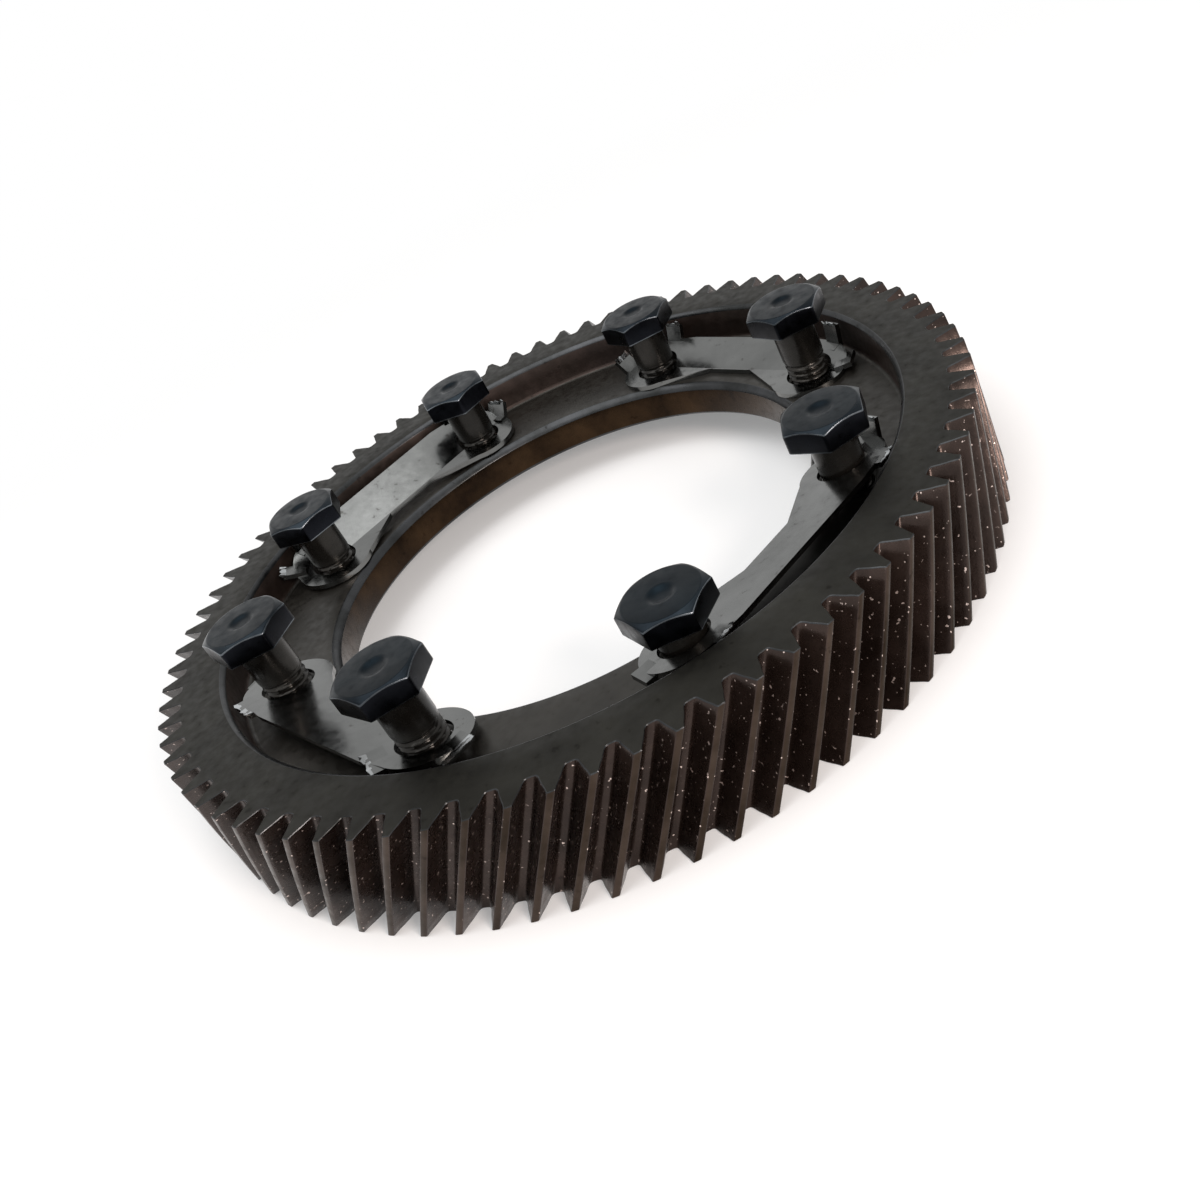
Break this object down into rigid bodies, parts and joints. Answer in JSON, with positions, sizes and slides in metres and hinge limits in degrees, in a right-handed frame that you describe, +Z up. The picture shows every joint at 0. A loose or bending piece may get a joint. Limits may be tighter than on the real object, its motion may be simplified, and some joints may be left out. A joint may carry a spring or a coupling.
{
  "type": "helical ring gear",
  "caption": "External helical ring gear with a recessed bolting web, large central bore, hexagon bolts run part way in and loose lock plates under their heads.",
  "frame": {"origin": "on the gear's axis, in the plane of its lower rim face", "axes": "+Z up along the gear's axis, towards the side the bolt heads stand on; +X through the first bolt; +Y completes a right-handed frame"},
  "size_m": [0.194, 0.194, 0.0409],
  "materials": {
    "gear_steel": "matt grey-brown heat-treated steel with a thin film of oil, ground bright in the bore and on the tooth flanks",
    "bolt_steel": "blue-black oxide finish, worn bright on the edges of the heads",
    "plate_steel": "bare cold-rolled sheet, smooth and oily, torn bright at the tabs"
  },
  "bodies": {
    "root": {"ring_gear": "gear_steel", "bolt_1": "bolt_steel", "bolt_2": "bolt_steel", "bolt_3": "bolt_steel", "bolt_4": "bolt_steel", "bolt_5": "bolt_steel", "bolt_6": "bolt_steel", "bolt_7": "bolt_steel", "bolt_8": "bolt_steel", "lock_plate_1": "plate_steel", "lock_plate_2": "plate_steel", "lock_plate_3": "plate_steel", "lock_plate_4": "plate_steel"}
  },
  "joints": []
}
